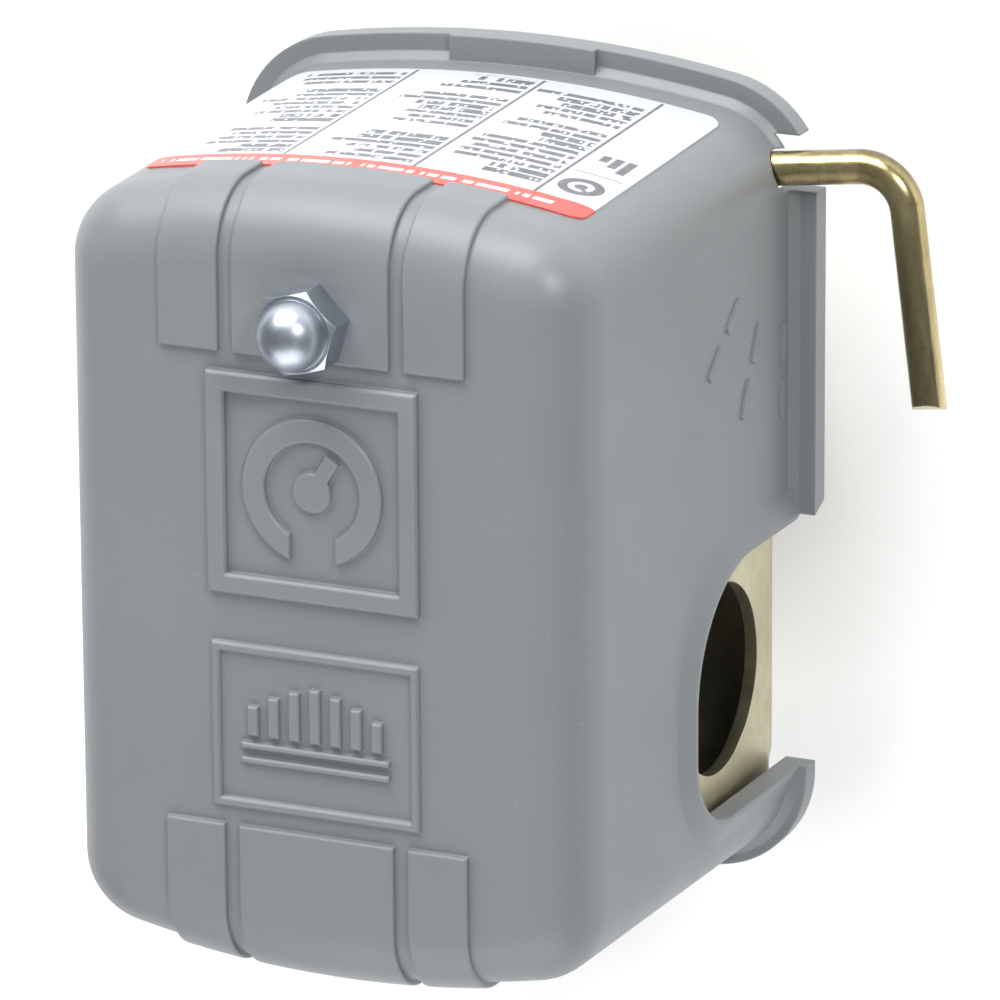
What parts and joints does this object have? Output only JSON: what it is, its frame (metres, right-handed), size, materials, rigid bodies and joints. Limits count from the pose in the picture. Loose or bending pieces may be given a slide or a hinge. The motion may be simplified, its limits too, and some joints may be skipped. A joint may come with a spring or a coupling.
{
  "type": "pressure switch",
  "caption": "Diaphragm pressure switch for a water pump: lift-off moulded cover, side cut-off lever, adjustable range and differential springs and a two-pole contact block.",
  "frame": {"origin": "centre of the pressure port's mouth", "axes": "+Z from the port to the face of the cover, +Y towards the label side, +X towards the side with the cut-off lever"},
  "size_m": [0.0879, 0.0983, 0.0925],
  "materials": {
    "cover_plastic": "satin moulded thermoplastic",
    "label": "printed film label",
    "bright_zinc": "bright zinc plated steel",
    "yellow_zinc": "yellow chromated zinc plated steel",
    "lever_steel": "yellow chromated rod",
    "spring_steel": "oiled spring steel",
    "cast_zinc": "die-cast zinc alloy",
    "diaphragm_rubber": "nitrile sheet",
    "phenolic": "black phenolic moulding",
    "carrier_plastic": "brown phenolic moulding",
    "brass_strip": "brass strip",
    "contact_silver": "silver contact alloy",
    "green_steel": "green earth screw",
    "piston_nylon": "natural acetal"
  },
  "bodies": {
    "base": {"base_bracket": "yellow_zinc", "diaphragm_housing": "cast_zinc", "diaphragm": "diaphragm_rubber", "port_body": "cast_zinc", "housing_screws": "bright_zinc", "cover_stud": "bright_zinc", "range_stud": "bright_zinc", "differential_stud": "bright_zinc", "range_spring": "spring_steel", "differential_spring": "spring_steel", "hinge_pin": "bright_zinc", "pin_clips": "spring_steel", "lever_clip": "spring_steel", "lever_washer": "bright_zinc", "contact_block": "phenolic", "block_screws": "bright_zinc", "terminal_plates": "brass_strip", "fixed_contacts": "contact_silver", "wire_clamps": "bright_zinc", "terminal_screws": "bright_zinc", "ground_screws": "green_steel"},
    "cover": {"cover": "cover_plastic", "cover_label": "label"},
    "acorn": {"acorn_nut": "bright_zinc"},
    "plate": {"operating_plate": "yellow_zinc"},
    "piston": {"piston": "piston_nylon"},
    "carrier": {"contact_carrier": "carrier_plastic", "contact_bridges": "brass_strip", "moving_contacts": "contact_silver", "bridge_springs": "spring_steel"},
    "range_seat": {"range_spring_seat": "yellow_zinc"},
    "range_nut": {"range_nut": "bright_zinc"},
    "differential_seat": {"differential_spring_seat": "yellow_zinc"},
    "differential_nut": {"differential_nut": "bright_zinc"},
    "lever": {"cutoff_lever": "lever_steel"}
  },
  "joints": [
    {"name": "cover_lift", "type": "slide", "parent": "base", "child": "cover", "axis": [0, 0, 1], "range_m": [0, 0.075]},
    {"name": "acorn_nut_turn", "type": "hinge", "parent": "cover", "child": "acorn", "pos_m": [0, 0.0235, 0.0842], "axis": [0, 0, 1], "continuous": true},
    {"name": "plate_hinge", "type": "hinge", "parent": "base", "child": "plate", "pos_m": [0, 0.028, 0.0395], "axis": [-1, 0, 0], "range_deg": [0, 3]},
    {"name": "piston_slide", "type": "slide", "parent": "base", "child": "piston", "axis": [0, 0, 1], "range_m": [0, 0.0015]},
    {"name": "carrier_slide", "type": "slide", "parent": "base", "child": "carrier", "axis": [0, 0, 1], "range_m": [0, 0.00225]},
    {"name": "range_seat_slide", "type": "slide", "parent": "base", "child": "range_seat", "axis": [0, 0, 1], "range_m": [-0.005, 0.003], "deforming": ["range_spring"]},
    {"name": "range_nut_turn", "type": "hinge", "parent": "range_seat", "child": "range_nut", "pos_m": [0, 0.011, 0.0644], "axis": [0, 0, 1], "range_deg": [-1440, 864]},
    {"name": "differential_seat_slide", "type": "slide", "parent": "base", "child": "differential_seat", "axis": [0, 0, 1], "range_m": [-0.003, 0.002], "deforming": ["differential_spring"]},
    {"name": "differential_nut_turn", "type": "hinge", "parent": "differential_seat", "child": "differential_nut", "pos_m": [0.013, -0.0015, 0.0516], "axis": [0, 0, 1], "range_deg": [-1440, 960]},
    {"name": "lever_turn", "type": "hinge", "parent": "base", "child": "lever", "pos_m": [0, 0.0299, 0.0277], "axis": [-1, 0, 0], "range_deg": [-10, 50]}
  ],
  "couplings": [
    {"joint": "piston_slide", "follows": "plate_hinge", "m_per_rad": 0.028},
    {"joint": "carrier_slide", "follows": "plate_hinge", "m_per_rad": 0.0423},
    {"joint": "range_nut_turn", "follows": "range_seat_slide", "rad_per_m": 4947.4},
    {"joint": "differential_nut_turn", "follows": "differential_seat_slide", "rad_per_m": 7915.8}
  ]
}
